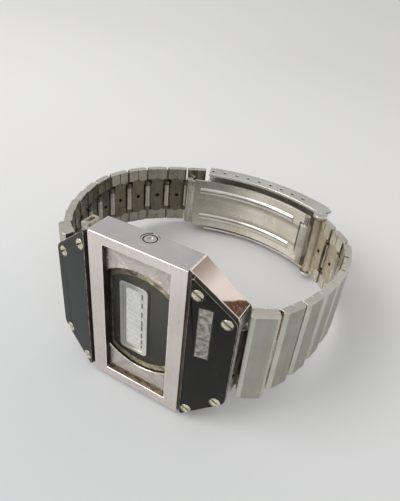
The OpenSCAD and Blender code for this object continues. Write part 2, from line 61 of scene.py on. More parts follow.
# The bracelet and the clasp, from the CAD source; headings in degrees, from the case to the clasp
HEAD_12 = [145.1, 127, 119.7, 112, 105.2, 93.3, 71.6, 57.5, 43, 35.3]
HEAD_6 = [147.7, 116.6, 106.6, 98.8, 95.3, 84.1, 72.4, 46.3, 42.83]
SIDES = (("12", 1, HEAD_12), ("6", -1, HEAD_6))
CATCH_HEAD = 33
FIRST_PITCH, LINK_PITCH = 6.9, 5.6
HINGE_0 = (-18.2, 5.8)
HALF_WIDTH, EXTRA_WIDTH = 8, 2.5
TAPER = [1, 0.8, 0.56, 0.32, 0.16, 0.04, 0, 0, 0, 0]
CLASP_MID = (0.496, 15.602)
BLADE_RADIUS = 38
TAIL_RADIUS, TAIL_ARC = 39.38, 18.91


def row(x, y, z):
    """A point of the dial's frame, in metres in the row frame."""
    turned = Matrix.Rotation(-LEAN, 3, "X") @ Vector((x, y, z))
    return (turned + SHIFT) * MM


def row_dir(x, y, z):
    """A direction of the dial's frame in the row frame, one unit long."""
    return (Matrix.Rotation(-LEAN, 3, "X") @ Vector((x, y, z))).normalized()


def compass(azimuth, height):
    """A direction in the row frame: degrees from +Y towards +X, and degrees up."""
    a, h = math.radians(azimuth), math.radians(height)
    return Vector((math.sin(a) * math.cos(h), math.cos(a) * math.cos(h), math.sin(h)))


# Camera, in the dial's frame
IMAGE_LONG = 501.0
FOCAL_PX = 454.849
SENSOR = 36.0
CAM_AT = (37.762, -51.242, 61.889)
CAM_FORWARD = (-0.369, 0.739, -0.563)
CAM_UP = (-0.343, 0.455, 0.822)


def make_camera():
    data = bpy.data.cameras.new("camera")
    data.sensor_width = SENSOR
    data.lens = SENSOR * FOCAL_PX / IMAGE_LONG
    data.clip_start = 0.005
    data.clip_end = 20
    cam = bpy.data.objects.new("camera", data)
    bpy.context.scene.collection.objects.link(cam)
    back = -row_dir(*CAM_FORWARD)
    up = row_dir(*CAM_UP)
    right = up.cross(back).normalized()
    up = back.cross(right)
    turn = Matrix((right, up, back)).transposed().to_4x4()
    cam.matrix_world = Matrix.Translation(row(*CAM_AT)) @ turn
    bpy.context.scene.camera = cam


# Materials
NOISE_SPAN = (0.3, 0.7)  # most of a noise's values
# Sockets of a Mix node that mixes colours
MIX_FACTOR, MIX_A, MIX_B, MIX_RESULT = 0, 6, 7, 2


class Tree:
    """A node tree, with short calls for the nodes it is made of."""

    def __init__(self, tree):
        self.nodes = tree.nodes
        self.links = tree.links

    def feed(self, socket, value):
        if isinstance(value, bpy.types.NodeSocket):
            self.links.new(value, socket)
        elif isinstance(value, (int, float)):
            socket.default_value = value
        else:
            value = tuple(value)
            pad = len(socket.default_value) - len(value)
            socket.default_value = value + (1.0,) * pad

    def split(self, vector):
        node = self.nodes.new("ShaderNodeSeparateXYZ")
        self.links.new(vector, node.inputs[0])
        return node.outputs[0], node.outputs[1], node.outputs[2]

    def vector(self, operation, vector, constant, output):
        """A vector worked with a constant one; output names the result's socket."""
        node = self.nodes.new("ShaderNodeVectorMath")
        node.operation = operation
        node.inputs[1].default_value = constant
        self.links.new(vector, node.inputs[0])
        return node.outputs[output]

    def math(self, operation, *values):
        node = self.nodes.new("ShaderNodeMath")
        node.operation = operation
        for socket, value in zip(node.inputs, values):
            self.feed(socket, value)
        return node.outputs[0]

    def times(self, a, b):
        return self.math("MULTIPLY", a, b)

    def plus(self, a, b):
        return self.math("ADD", a, b)

    def larger(self, a, b):
        return self.math("MAXIMUM", a, b)

    def unsigned(self, a):
        return self.math("ABSOLUTE", a)

    def smooth(self, value, start, end, low=0.0, high=1.0):
        """Runs softly from low at start to high at end, and stays there."""
        node = self.nodes.new("ShaderNodeMapRange")
        node.interpolation_type = "SMOOTHSTEP"
        for name, number in (("From Min", start), ("From Max", end), ("To Min", low),
                             ("To Max", high)):
            node.inputs[name].default_value = number
        self.links.new(value, node.inputs["Value"])
        return node.outputs["Result"]

    def ramp(self, fac, stops):
        node = self.nodes.new("ShaderNodeValToRGB")
        elements = node.color_ramp.elements
        while len(elements) < len(stops):
            elements.new(0.5)
        for element, (at, colour) in zip(elements, stops):
            element.position = at
            element.color = (*colour, 1)
        self.links.new(fac, node.inputs["Fac"])
        return node.outputs["Color"]

    def mix(self, fac, a, b, blend="MIX"):
        node = self.nodes.new("ShaderNodeMix")
        node.data_type = "RGBA"
        node.blend_type = blend
        for k, value in ((MIX_FACTOR, fac), (MIX_A, a), (MIX_B, b)):
            self.feed(node.inputs[k], value)
        return node.outputs[MIX_RESULT]

    def tint(self, colour, factor):
        """A colour times a factor, which may be a number or a colour."""
        return self.mix(1.0, colour, factor, "MULTIPLY")


class Look(Tree):
    """A material with a surface shader."""

    def __init__(self, name, metallic=0.0, roughness=0.5):
        self.mat = bpy.data.materials.new(name)
        self.mat.use_nodes = True
        super().__init__(self.mat.node_tree)
        self.shader = self.nodes["Principled BSDF"]
        self.put("Metallic", metallic)
        self.put("Roughness", roughness)

    def put(self, name, value):
        """Sets or links an input of the surface shader."""
        self.feed(self.shader.inputs[name], value)

    def coords(self, stretch=(1, 1, 1)):
        """Millimetres in the dial's frame, times stretch; the piece carries them along."""
        coords = self.nodes.new("ShaderNodeTexCoord")
        mapping = self.nodes.new("ShaderNodeMapping")
        mapping.vector_type = "TEXTURE"
        mapping.inputs["Location"].default_value = SHIFT * MM
        mapping.inputs["Rotation"].default_value = (-LEAN, 0, 0)
        mapping.inputs["Scale"].default_value = (MM, MM, MM)
        self.links.new(coords.outputs["Object"], mapping.inputs["Vector"])
        return self.vector("MULTIPLY", mapping.outputs["Vector"], stretch, "Vector")

    def axes(self):
        return self.split(self.coords())

    def noise(self, vector, scale, detail=4.0, roughness=0.55):
        node = self.nodes.new("ShaderNodeTexNoise")
        node.inputs["Scale"].default_value = scale
        node.inputs["Detail"].default_value = detail
        node.inputs["Roughness"].default_value = roughness
        self.links.new(vector, node.inputs["Vector"])
        return node.outputs["Fac"]

    def bump(self, height, strength, depth):
        """depth in millimetres"""
        node = self.nodes.new("ShaderNodeBump")
        node.inputs["Strength"].default_value = strength
        node.inputs["Distance"].default_value = depth * MM
        self.links.new(height, node.inputs["Height"])
        self.put("Normal", node.outputs["Normal"])


def grey(level):
    return (level, level, level)


def metal(name, light, dark, rough, brushed=(1, 1, 1), grain=1.2, lines=0.2, cloud=0.16,
          dirt=0.0, shade=None):
    """Metal with fine lines along the axis of the smallest factor, soft clouds and brown dirt."""
    look = Look(name, metallic=1.0)
    fine = look.noise(look.coords(brushed), grain, detail=6, roughness=0.6)
    soft = look.noise(look.coords(), cloud, detail=5, roughness=0.6)
    colour = look.ramp(soft, [(0.35, dark), (0.62, light)])
    colour = look.tint(colour, look.ramp(fine, [(0.3, grey(1 - lines)), (0.7, grey(1))]))
    if shade:
        colour = shade(look, colour)
    if dirt:
        spots = look.noise(look.coords(), 1.1, detail=5, roughness=0.7)
        mask = look.smooth(spots, 0.66 - 0.12 * dirt, 0.74)
        colour = look.mix(mask, colour, (0.10, 0.075, 0.05))
    look.put("Base Color", colour)
    look.put("Roughness", look.smooth(soft, *NOISE_SPAN, rough - 0.03, rough + 0.06))
    look.bump(fine, strength=0.25, depth=0.03)
    return look.mat


def plastic(name, colour, rough, grain=2.5, depth=0.02, mottle=0.15, gloss=0.5, shade=None):
    """Plastic, rubber or paint with a soft mottle and a fine grain."""
    look = Look(name)
    look.put("Specular IOR Level", gloss)
    cloud = look.noise(look.coords(), 0.22)
    darker = tuple(c * (1 - mottle) for c in colour)
    base = look.ramp(cloud, [(0.3, darker), (0.7, colour)])
    look.put("Base Color", shade(look, base) if shade else base)
    look.put("Roughness", look.smooth(cloud, *NOISE_SPAN, rough - 0.05, rough + 0.08))
    look.bump(look.noise(look.coords(), grain, detail=3), strength=0.3, depth=depth)
    return look.mat


def lacquer(name, low, high, rough):
    """Lacquer on metal, rubbed paler in patches, with hairline scratches and dust."""
    look = Look(name)
    cloud = look.noise(look.coords(), 0.16, detail=5, roughness=0.6)
    dust = look.noise(look.coords(), 2.6, detail=2, roughness=0.5)
    scratch = look.noise(look.coords((4.5, 9, 0.35)), 0.30, detail=3, roughness=0.5)
    base = look.ramp(cloud, [(0.35, low), (0.72, high)])
    specks = look.ramp(dust, [(0.70, grey(0)), (0.80, (0.09, 0.09, 0.085))])
    lines = look.ramp(scratch, [(0.68, grey(0)), (0.73, grey(0.022))])
    base = look.mix(1.0, base, specks, "ADD")
    look.put("Base Color", look.mix(1.0, base, lines, "ADD"))
    look.put("Roughness", look.smooth(cloud, *NOISE_SPAN, rough, rough + 0.14))
    look.put("Specular IOR Level", 0.25)
    look.bump(dust, strength=0.15, depth=0.02)
    return look.mat


def crusted(name, base_low, base_high, growth, amount, grain):
    """Bare metal under a grainy growth, with painted shade darker to 12 o'clock; amount is the
    share covered.
    """
    look = Look(name)
    cloud = look.noise(look.coords(), 0.45 * grain, detail=6, roughness=0.65)
    spots = look.noise(look.coords(), 1.3 * grain, detail=5, roughness=0.7)
    cover = look.smooth(spots, 0.72 - 0.4 * amount, 0.78 - 0.4 * amount)
    base = look.ramp(cloud, [(0.3, base_low), (0.65, base_high)])
    # Painted shade, darker towards 12 o'clock
    darker = look.smooth(look.axes()[X], -6, 3, 0.35, 1.0)
    look.put("Base Color", look.tint(look.mix(cover, base, growth), darker))
    look.put("Metallic", look.math("SUBTRACT", 1.0, cover))
    look.put("Roughness", look.smooth(spots, 0.4, 0.7, 0.28, 0.75))
    look.bump(spots, strength=0.6, depth=0.12)
    return look.mat


def glass(name):
    """Thin clear glass, smeared in places."""
    look = Look(name)
    smear = look.noise(look.coords(), 0.14)
    look.put("Base Color", grey(0.05))
    look.put("Alpha", 0.04)
    look.put("Roughness", look.smooth(smear, *NOISE_SPAN, 0.02, 0.12))
    return look.mat


# Shades: each takes a look and its colour, and returns the changed colour
def fade(axis, start, end, low, high):
    """A shade that multiplies the colour by low to high along one axis of the dial's frame."""
    def shade(look, colour):
        return look.tint(colour, look.smooth(look.axes()[axis], start, end, low, high))
    return shade


def lit_across_loop(low, high):
    """Painted light and shade for the bracelet's inside: darker on its 12 o'clock half, lighter on
    its 6 o'clock half.
    """
    return fade(X, -14, 16, low, high)


def recess_shade(look, colour):
    """Old dirt on the recess floor at its foot, the cut-out and one corner; painted shadow at its
    left.
    """
    x, _, z = look.axes()
    spots = look.noise(look.coords(), 1.7, detail=5, roughness=0.7)
    foot = look.smooth(z, 1.2 - RECESS_Z, 0.1 - RECESS_Z)
    # Painted shadow along the left side, where the recess wall shades the floor
    left = look.smooth(x, -6.4, -7.2)
    radius = look.math("SQRT", look.plus(look.times(x, x), look.times(z, z)))
    rim = look.smooth(radius, CUTOUT_RADIUS + 1.2, CUTOUT_RADIUS)
    corner = look.times(look.smooth(x, 4.5, 6.9), look.smooth(z, 14.2, 15.6))
    near = look.larger(look.larger(foot, look.times(rim, 0.7)),
                       look.larger(look.times(corner, 0.55), left))
    # The mask holds the dirt and the painted shadow alike, in the same dark brown
    cover = look.smooth(look.plus(spots, look.times(near, 0.30)), 0.68, 0.80)
    look.put("Metallic", 0.15)
    # Painted shade: the floor darkens towards its foot
    colour = look.tint(colour, look.smooth(z, -14, 6, 0.66, 0.96))
    return look.mix(cover, colour, (0.17, 0.12, 0.08))


def painted_dial_light(look, colour):
    """Painted light: paler at the upper right; painted shade darker to the left."""
    colour = fade(Z, -8, 9, 0.6, 1.1)(look, colour)
    return fade(X, -6, 1, 0.45, 1.0)(look, colour)


def wing_end_shade(look, colour):
    """Dulled as a whole."""
    look.put("Metallic", 0.55)
    return colour


def blade_shade(look, colour):
    """Duller towards the catch, as painted shade, with painted shadow on the inner side of each
    rib.
    """
    x, _, z = look.axes()
    # Painted shade, darker towards the catch
    colour = look.tint(colour, look.smooth(x, -17, 2, 0.66, 1.0))
    look.put("Metallic", look.smooth(x, -10, 4, 1.0, 0.4))
    off = look.unsigned(z)
    # Painted shadow on the inner side of each rib
    rib_shadow = look.times(look.smooth(off, 1.6, 2.8), look.smooth(off, 3.3, 3.05))
    rib_shadow = look.times(rib_shadow, look.smooth(x, -16, 0))
    return look.mix(look.times(rib_shadow, 0.7), colour, (0.34, 0.29, 0.22))


def rib_shade(look, colour):
    """Brightest along its crest, a painted highlight, and duller towards the catch, as painted
    shade.
    """
    x, _, z = look.axes()
    rib_middle = 4.0
    off = look.unsigned(look.math("SUBTRACT", look.unsigned(z), rib_middle))
    colour = look.tint(colour, look.smooth(off, 0.95, 0.3, 0.66, 1.0))
    return look.tint(colour, look.smooth(x, -17, -6, 0.82, 1.0))


def front_shade(look, colour):
    """Fine pits, mostly along the rail beside the 6 o'clock plate, and darker towards low z."""
    x, _, z = look.axes()
    spots = look.noise(look.coords(), 2.6, detail=3, roughness=0.6)
    rail = look.smooth(x, 7.6, 9.6)
    cover = look.smooth(look.plus(spots, look.times(rail, 0.07)), 0.70, 0.78)
    colour = look.tint(colour, look.smooth(z, 5, 16.5, 0.86, 1.0))
    return look.mix(look.times(cover, 0.6), colour, (0.30, 0.24, 0.20))


def chamfer_shade(look, colour):
    """Painted reflection, brown and mottled, towards the tip of each wing; painted shade at the
    chamfer's start.
    """
    x, y, _ = look.axes()
    off = look.unsigned(x)
    reach = look.math("SUBTRACT", off, look.times(y, 0.494))
    wobble = look.times(look.noise(look.coords(), 0.7), 0.5)
    # Painted reflection of the bracelet's end, towards the tip
    tip = look.smooth(look.plus(reach, wobble), 15.3, 15.7)
    # Painted shade at the chamfer's start, near the block
    out_of_shade = look.smooth(off, 10.6, 14.8)
    colour = look.mix(out_of_shade, look.mix(0.9, colour, (0.31, 0.25, 0.21)), colour)
    mottle = look.smooth(look.noise(look.coords(), 1.3, detail=5, roughness=0.7), 0.5, 0.7)
    brown = look.mix(mottle, (0.11, 0.065, 0.045), (0.32, 0.21, 0.16))
    return look.mix(tip, colour, brown)


ALONG_Z = (1, 1, 0.03)
ROUND = (0.06, 0.06, 1)
METALS = {
    "block_front": dict(light=(0.95, 0.85, 0.80), dark=(0.87, 0.77, 0.72), rough=0.28,
                        brushed=ALONG_Z, grain=1.5, lines=0.08, shade=front_shade),
    "block_side": dict(light=(0.72, 0.69, 0.67), dark=(0.66, 0.63, 0.61), rough=0.18,
                       brushed=(0.03, 1, 1), grain=1.4, lines=0.05),
    "chamfer": dict(light=(0.86, 0.79, 0.75), dark=(0.80, 0.72, 0.67), rough=0.12,
                    brushed=(0.1, 1, 1), grain=0.9, lines=0.04, shade=chamfer_shade),
    "wing_end": dict(light=(0.88, 0.86, 0.82), dark=(0.46, 0.42, 0.37), rough=0.45,
                     grain=1.4, cloud=1.3, dirt=0.3, shade=wing_end_shade),
    "edge": dict(light=(0.97, 0.92, 0.88), dark=(0.80, 0.73, 0.68), rough=0.12,
                 grain=0.9, lines=0.05, cloud=0.9),
    "recess": dict(light=(0.97, 0.87, 0.82), dark=(0.88, 0.77, 0.70), rough=0.42,
                   brushed=(1, 1, 0.3), grain=2.6, lines=0.16, cloud=0.5, shade=recess_shade),
    "foot_wall": dict(light=(0.62, 0.50, 0.36), dark=(0.24, 0.17, 0.10), rough=0.36,
                      lines=0.1, cloud=0.9, dirt=1.0),
    # Painted shade: steel made nearly black for walls, holes, gaps and slot floors where shade
    # falls
    "inner_wall": dict(light=(0.17, 0.14, 0.115), dark=(0.07, 0.057, 0.045), rough=0.36,
                       grain=0.9),
    "back": dict(light=(0.62, 0.61, 0.59), dark=(0.52, 0.51, 0.49), rough=0.26,
                 brushed=(1, 0.05, 1), grain=0.9, lines=0.1),
    "flat": dict(light=(0.46, 0.445, 0.38), dark=(0.39, 0.375, 0.32), rough=0.34,
                 brushed=ALONG_Z, grain=1.8, lines=0.15),
    "bevel": dict(light=(0.66, 0.65, 0.57), dark=(0.58, 0.57, 0.49), rough=0.22,
                  brushed=ALONG_Z, grain=1.4, lines=0.10),
    "link_end": dict(light=(0.72, 0.68, 0.60), dark=(0.60, 0.56, 0.49), rough=0.30,
                     grain=0.9, lines=0.08, dirt=0.3),
    "link_inner": dict(light=(0.42, 0.385, 0.31), dark=(0.31, 0.28, 0.22), rough=0.30,
                       brushed=ALONG_Z, lines=0.18, cloud=0.4, dirt=0.2,
                       shade=lit_across_loop(0.5, 1.9)),
    "slat": dict(light=(0.37, 0.325, 0.24), dark=(0.28, 0.24, 0.17), rough=0.32,
                 brushed=ALONG_Z, grain=1.5, lines=0.15, cloud=0.5, dirt=0.15,
                 shade=lit_across_loop(0.58, 1.9)),
    "cap": dict(light=(0.56, 0.53, 0.45), dark=(0.44, 0.40, 0.32), rough=0.28,
                lines=0.12, cloud=0.5, dirt=0.4, shade=lit_across_loop(0.8, 1.6)),
    "bar": dict(light=(0.92, 0.87, 0.77), dark=(0.66, 0.60, 0.49), rough=0.20,
                brushed=ALONG_Z, lines=0.10, cloud=0.5, shade=lit_across_loop(0.62, 1.0)),
    "pin": dict(light=(0.30, 0.25, 0.18), dark=(0.12, 0.09, 0.06), rough=0.35, dirt=0.8),
    "blade": dict(light=(0.98, 0.92, 0.80), dark=(0.80, 0.73, 0.60), rough=0.26,
                  brushed=ROUND, grain=1.1, lines=0.18, cloud=0.12, dirt=0.1,
                  shade=blade_shade),
    "rib": dict(light=(0.90, 0.87, 0.80), dark=(0.74, 0.70, 0.61), rough=0.20,
                brushed=ROUND, grain=1.1, lines=0.06, cloud=0.2, shade=rib_shade),
    "cover": dict(light=(0.74, 0.735, 0.675), dark=(0.62, 0.615, 0.56), rough=0.28,
                  brushed=ROUND, grain=1.5, lines=0.16),
    # Painted light: a paler copy of the cover's steel for the clasp's inside
    "clasp_inside": dict(light=(0.92, 0.90, 0.82), dark=(0.72, 0.69, 0.60), rough=0.50,
                         brushed=ROUND, grain=0.9, lines=0.22, cloud=0.2),
    "silver": dict(light=(0.62, 0.59, 0.55), dark=(0.20, 0.18, 0.15), rough=0.34,
                   grain=1.5, lines=0.3, cloud=0.9, dirt=0.8),
    "cream": dict(light=(0.80, 0.76, 0.65), dark=(0.44, 0.39, 0.31), rough=0.30,
                  lines=0.25, cloud=1.1, dirt=0.7),
    "slot": dict(light=(0.80, 0.73, 0.58), dark=(0.40, 0.35, 0.26), rough=0.4,
                 cloud=0.9, dirt=0.4),
    # Painted highlight: the screws' broken rims are paler than their tops; cell strap and contact
    # leaf wear it whole
    "screw": dict(light=(1.0, 0.98, 0.82), dark=(0.86, 0.82, 0.60), rough=0.25,
                  lines=0.1, cloud=0.9, dirt=0.4),
    "screw_top": dict(light=(0.98, 0.94, 0.72), dark=(0.62, 0.57, 0.36), rough=0.42,
                      lines=0.15, cloud=0.9, dirt=0.7),
    "worn_edge": dict(light=(0.50, 0.42, 0.34), dark=(0.10, 0.08, 0.06), rough=0.30,
                      cloud=0.7),
    # Painted light and shade: the rim is lighter to the right and darker to the left
    "lcd_rim": dict(light=(0.97, 0.95, 0.88), dark=(0.84, 0.82, 0.75), rough=0.36,
                    grain=1.3, lines=0.08, shade=fade(X, -2.5, 1.4, 0.5, 1.0)),
}
CRUSTS = {
    "crust": dict(base_low=(0.09, 0.065, 0.04), base_high=(0.86, 0.76, 0.54),
                  growth=(0.22, 0.17, 0.09), amount=0.44, grain=1.5),
    "crust_wall": dict(base_low=(0.06, 0.04, 0.025), base_high=(0.24, 0.17, 0.10),
                       growth=(0.13, 0.09, 0.05), amount=0.5, grain=1.4),
    "crumb": dict(base_low=(0.20, 0.16, 0.06), base_high=(0.50, 0.45, 0.20),
                  growth=(0.62, 0.60, 0.24), amount=0.8, grain=2),
    "dirt": dict(base_low=(0.05, 0.035, 0.02), base_high=(0.12, 0.08, 0.05),
                 growth=(0.10, 0.07, 0.04), amount=0.9, grain=2),
}
LACQUERS = {
    "lacquer": dict(low=(0.004, 0.0035, 0.003), high=(0.011, 0.010, 0.008), rough=0.30),
    # Painted sheen: the 12 o'clock plate's lacquer is painted paler, as if it catches the light
    "lacquer_12": dict(low=(0.020, 0.022, 0.021), high=(0.040, 0.043, 0.041), rough=0.36),
}
PLASTICS = {
    "dial": dict(colour=(0.085, 0.083, 0.066), rough=0.5, gloss=0.25, shade=painted_dial_light),
    # Painted shadow: the display darkens at its left side, where the frame shades it
    "lcd": dict(colour=(0.72, 0.72, 0.69), rough=0.28, grain=1.5, depth=0.005, mottle=0.08,
                shade=fade(X, -3.9, -3.1, 0.45, 1.0)),
    "digit": dict(colour=(0.86, 0.865, 0.82), rough=0.4, grain=1.5, depth=0.005),
    "dark_mark": dict(colour=(0.14, 0.145, 0.13), rough=0.45, grain=1.5, depth=0.005),
    "rubber": dict(colour=(0.03, 0.03, 0.03), rough=0.7),
    "board": dict(colour=(0.06, 0.20, 0.11), rough=0.35),
    "carrier": dict(colour=(0.30, 0.30, 0.29), rough=0.5),
}
M = {"window": glass("window")}
for make, table in ((metal, METALS), (crusted, CRUSTS), (lacquer, LACQUERS),
                    (plastic, PLASTICS)):
    M.update({name: make(name, **values) for name, values in table.items()})


# Dressing the CAD nodes
HARD = math.cos(math.radians(28))  # an edge that turns more is hard
SOFT = math.cos(math.radians(1.5))  # faces that turn less are taken as one flat face
FACING = 0.9  # the least cosine of a face that looks along an axis


def dial_normal(poly):
    """A face's normal in the dial's frame."""
    return Matrix.Rotation(LEAN, 3, "X") @ poly.normal


def dial_point(co):
    """A vertex in the dial's frame, in millimetres."""
    return Matrix.Rotation(LEAN, 3, "X") @ (Vector(co) / MM - SHIFT)


def meeting_faces(mesh):
    """The normals that meet at each edge, by its key; split faces are matched by place."""
    normals = {}
    spots = {}
    for poly in mesh.polygons:
        for key in poly.edge_keys:
            ends = sorted(tuple(round(c * 1e6) for c in mesh.vertices[v].co) for v in key)
            normals.setdefault(tuple(ends), []).append(poly.normal.copy())
            spots[key] = tuple(ends)
    return {key: normals[spot] for key, spot in spots.items()}


def agreement(faces):
    """The cosine between two faces that meet, or 1 where they are not a pair."""
    return faces[0].dot(faces[1]) if len(faces) == 2 else 1.0


def paint(mesh, choose, edge):
    """Gives each face the material that choose names; returns the names in their order."""
    used = []
    mesh.materials.clear()
    for poly in mesh.polygons:
        key = choose
        if callable(choose):
            key = choose(dial_normal(poly), dial_point(poly.center))
        if key not in used:
            used.append(key)
        poly.material_index = used.index(key)
    if edge and edge not in used:
        used.append(edge)
    for key in used:
        mesh.materials.append(M[key])
    return used


def smooth_curves(mesh, met):
    """Smooths the faces of curved surfaces, and leaves the flat ones flat."""
    if "custom_normal" in mesh.attributes:
        mesh.attributes.remove(mesh.attributes["custom_normal"])
    for poly in mesh.polygons:
        turns = [agreement(met[key]) for key in poly.edge_keys]
        poly.use_smooth = any(HARD < turn < SOFT for turn in turns)


def choose_edges(mesh, met, keep):
    """Weighs the hard edges that keep(middle) lets through, and marks the others sharp."""
    weights = mesh.attributes.new("bevel_weight_edge", "FLOAT", "EDGE")
    for edge in mesh.edges:
        if agreement(met.get(edge.key, [])) > HARD:
            continue
        middle = (mesh.vertices[edge.vertices[0]].co + mesh.vertices[edge.vertices[1]].co) / 2
        chosen = keep(dial_point(middle))
        weights.data[edge.index].value = 1.0 if chosen else 0.0
        edge.use_edge_sharp = not chosen


def dress(name, choose, bevel=0.0, edge=None, keep=None):
    """Paints a CAD node and breaks its edges: choose(normal, centre) or one name for all faces,
    bevel in millimetres, edge the material of the bevel, keep(middle) for the edges that get it."""
    node = NODES[name]
    mesh = node.data
    used = paint(mesh, choose, edge)
    if not bevel:
        return
    met = meeting_faces(mesh)
    smooth_curves(mesh, met)
    weld = node.modifiers.new("weld", "WELD")
    weld.merge_threshold = 1e-6
    round_off = node.modifiers.new("bevel", "BEVEL")
    round_off.width = bevel * MM
    round_off.segments = 2
    round_off.limit_method = "ANGLE"
    round_off.angle_limit = math.acos(HARD)
    round_off.harden_normals = True
    round_off.use_clamp_overlap = keep is None
    round_off.material = used.index(edge)
    if keep:
        choose_edges(mesh, met, keep)
        round_off.limit_method = "WEIGHT"


def every_edge(at):
    """Takes all hard edges, at the bevel's full width."""
    return True


def plate_edge(at):
    """All edges of a plate but those of the small cuts at its inner corners."""
    cut_x, cut_z = 11.35, 16.3
    return abs(at.x) > cut_x or abs(at.z) < cut_z


def from_button(at):
    """The distance from the push-piece's axis."""
    return math.hypot(at.x - BUTTON_X, at.y - BUTTON_Y)


def in_notch(at):
    """Whether a point lies in the opening for the end of the bracelet."""
    return (abs(at.z) < NOTCH_HALF + 0.1 and abs(at.x) > NOTCH_START
            and at.y > NOTCH_FRONT)


def on_wing_rim(at):
    """The long edge between the seat of a plate and the slanted side."""
    beyond = abs(at.x) - HALF_BLOCK
    half = HALF_LENGTH - WING_TAPER * beyond / WING_REACH
    return beyond > 0.045 and abs(abs(at.z) - half) < 0.06


def case_edge(at):
    """The edges of the case that are broken: none of its well, bore, holes, notches and inner
    corners."""
    x, z = abs(at.x), abs(at.z)
    well = at.z > WELL_FLOOR and from_button(at) < WELL_REACH
    wing_joint = abs(x - HALF_BLOCK) < 0.05 and at.y < 1
    bore = at.y > RECESS_DEPTH + 0.05 and math.hypot(x, z) < BORE_REACH
    screw_holes = HALF_BLOCK + 0.5 < x < HALF_BLOCK + WING_REACH - 0.5 and z < 13.5 and at.y < 5
    recess_foot = abs(at.y - RECESS_DEPTH) < 0.1 and (
        abs(x - RECESS_X) < 0.1 or abs(z - RECESS_Z) < 0.1)
    kept_sharp = well or wing_joint or bore or in_notch(at) or screw_holes or recess_foot
    return on_wing_rim(at) or not kept_sharp


# inner_wall here is painted shade in the hollows: the well, the notches, the recess walls
def case_face(normal, at):
    x, z = abs(at.x), abs(at.z)
    if normal.y < -FACING:
        if x > HALF_BLOCK + 0.005:
            return "inner_wall"
        if at.y < 0.1:
            return "block_front"
        return "recess" if at.y < RECESS_DEPTH + 0.2 else "inner_wall"
    if (at.z > WELL_FLOOR and from_button(at) < WELL_REACH) or in_notch(at):
        return "inner_wall"
    if abs(normal.x) > FACING and x > HALF_BLOCK + WING_REACH - 0.145:
        return "wing_end"
    if at.y < RECESS_DEPTH + 0.01 and x < RECESS_X + 0.15 and z < RECESS_Z + 0.1:
        return "foot_wall" if normal.z > FACING else "inner_wall"
    if math.hypot(x, z) < CUTOUT_RADIUS + 0.6 and RECESS_DEPTH - 0.1 < at.y < 6:
        return "crust_wall"
    if abs(normal.x) > 0.3 and abs(normal.z) > 0.3:
        return "chamfer"
    return "back" if normal.y > 0.5 else "block_side"


def pusher_face(normal, at):
    """A bright end with rings of painted shade."""
    top = normal.z > FACING and at.z > HALF_LENGTH - 0.15
    return "block_side" if top or from_button(at) < 0.8 else "inner_wall"


def screw_face(side):
    """A choice for the screws of one plate: painted shade on the floors of the slots."""
    slope = math.atan2(WING_DROP, WING_REACH)
    away = Vector((-side * math.sin(slope), math.cos(slope)))

    def choose(normal, at):
        depth = (at.x - side * HALF_BLOCK) * away.x + (at.y - WING_FRONT) * away.y
        in_slot = 0.005 - PLATE_THICKNESS < depth < -0.6
        return "inner_wall" if in_slot and normal.y < -FACING else "screw_top"

    return choose


def corrector_face(normal, at):
    """The slot's walls are the faces that don't lie on the block's outside."""
    inside = all(low + 0.05 < c < high - 0.05
                 for low, c, high in zip(CORRECTOR_LOW, at, CORRECTOR_HIGH))
    return "slot" if inside else "cream"


def hinge(heads, i):
    """The axis of a bracelet hinge, in x and y, for the 12 o'clock side."""
    x, y = HINGE_0
    for k in range(i):
        step = FIRST_PITCH if k == 0 else LINK_PITCH
        x += step * math.cos(math.radians(heads[k]))
        y += step * math.sin(math.radians(heads[k]))
    return x, y


class Link:
    """Where a link lies: u runs from its hinge to the next, v outward; mirror is -1 or 1."""

    BAR_LOW, BAR_MIDDLE = 0.9, 1.2  # heights of the outer bar's underside and middle, in v
    CAP_START = 4.7  # of the folded ends, in z
    ROLL_REACH, ROLL_END = 1.0, 3.4  # of the rolled bar, from the hinge and in z
    SLAT_TOP = 0.3
    EYE_REACH, EYE_TOP = 2.3, 1.3  # of the first link's tube, in u and v

    def __init__(self, heads, i, mirror, heading=None):
        self.x, self.y = hinge(heads, i)
        angle = math.radians(heads[i] if heading is None else heading)
        self.d = (math.cos(angle), math.sin(angle))
        self.mirror = mirror
        self.half = HALF_WIDTH + EXTRA_WIDTH * TAPER[i]
        self.first = i == 0
        self.pitch = FIRST_PITCH if self.first else LINK_PITCH

    def uv(self, at):
        x, y = at.x * self.mirror - self.x, at.y - self.y
        return x * self.d[0] + y * self.d[1], -x * self.d[1] + y * self.d[0]

    def point(self, u, v, z):
        return Vector((self.mirror * (self.x + u * self.d[0] - v * self.d[1]),
                       self.y + u * self.d[1] + v * self.d[0], z))

    def up(self, normal):
        """How far a normal points outward."""
        return -normal.x * self.mirror * self.d[1] + normal.y * self.d[0]

    def edge(self, at):
        """The outward edges of a link, and those of its ends, are broken."""
        _, v = self.uv(at)
        return v > 1.0 or abs(at.z) > self.half - 0.1

    def face(self, normal, at):
        u, v = self.uv(at)
        up = self.up(normal)
        if abs(normal.z) > FACING:
            return "link_end" if abs(at.z) > self.half - 0.06 else "link_inner"
        in_eye = u < self.EYE_REACH and v < self.EYE_TOP
        # Painted shade: the first link's tube and the faces beside it are dark, for the gap behind
        # the case's end
        if self.first and (in_eye or (u < self.EYE_REACH - 0.3 and up < 0.3)):
            return "inner_wall"
        if up > 0.985 and v > self.BAR_MIDDLE:
            return "flat"
        if up > 0.3 and v > self.BAR_LOW:
            return "bevel"
        if abs(at.z) > self.CAP_START:
            return "cap"
        from_hinge = min(math.hypot(u, v), math.hypot(u - self.pitch, v))
        if from_hinge < self.ROLL_REACH and abs(at.z) < self.ROLL_END:
            return "bar"
        return "slat" if up < -FACING and v < self.SLAT_TOP else "link_inner"


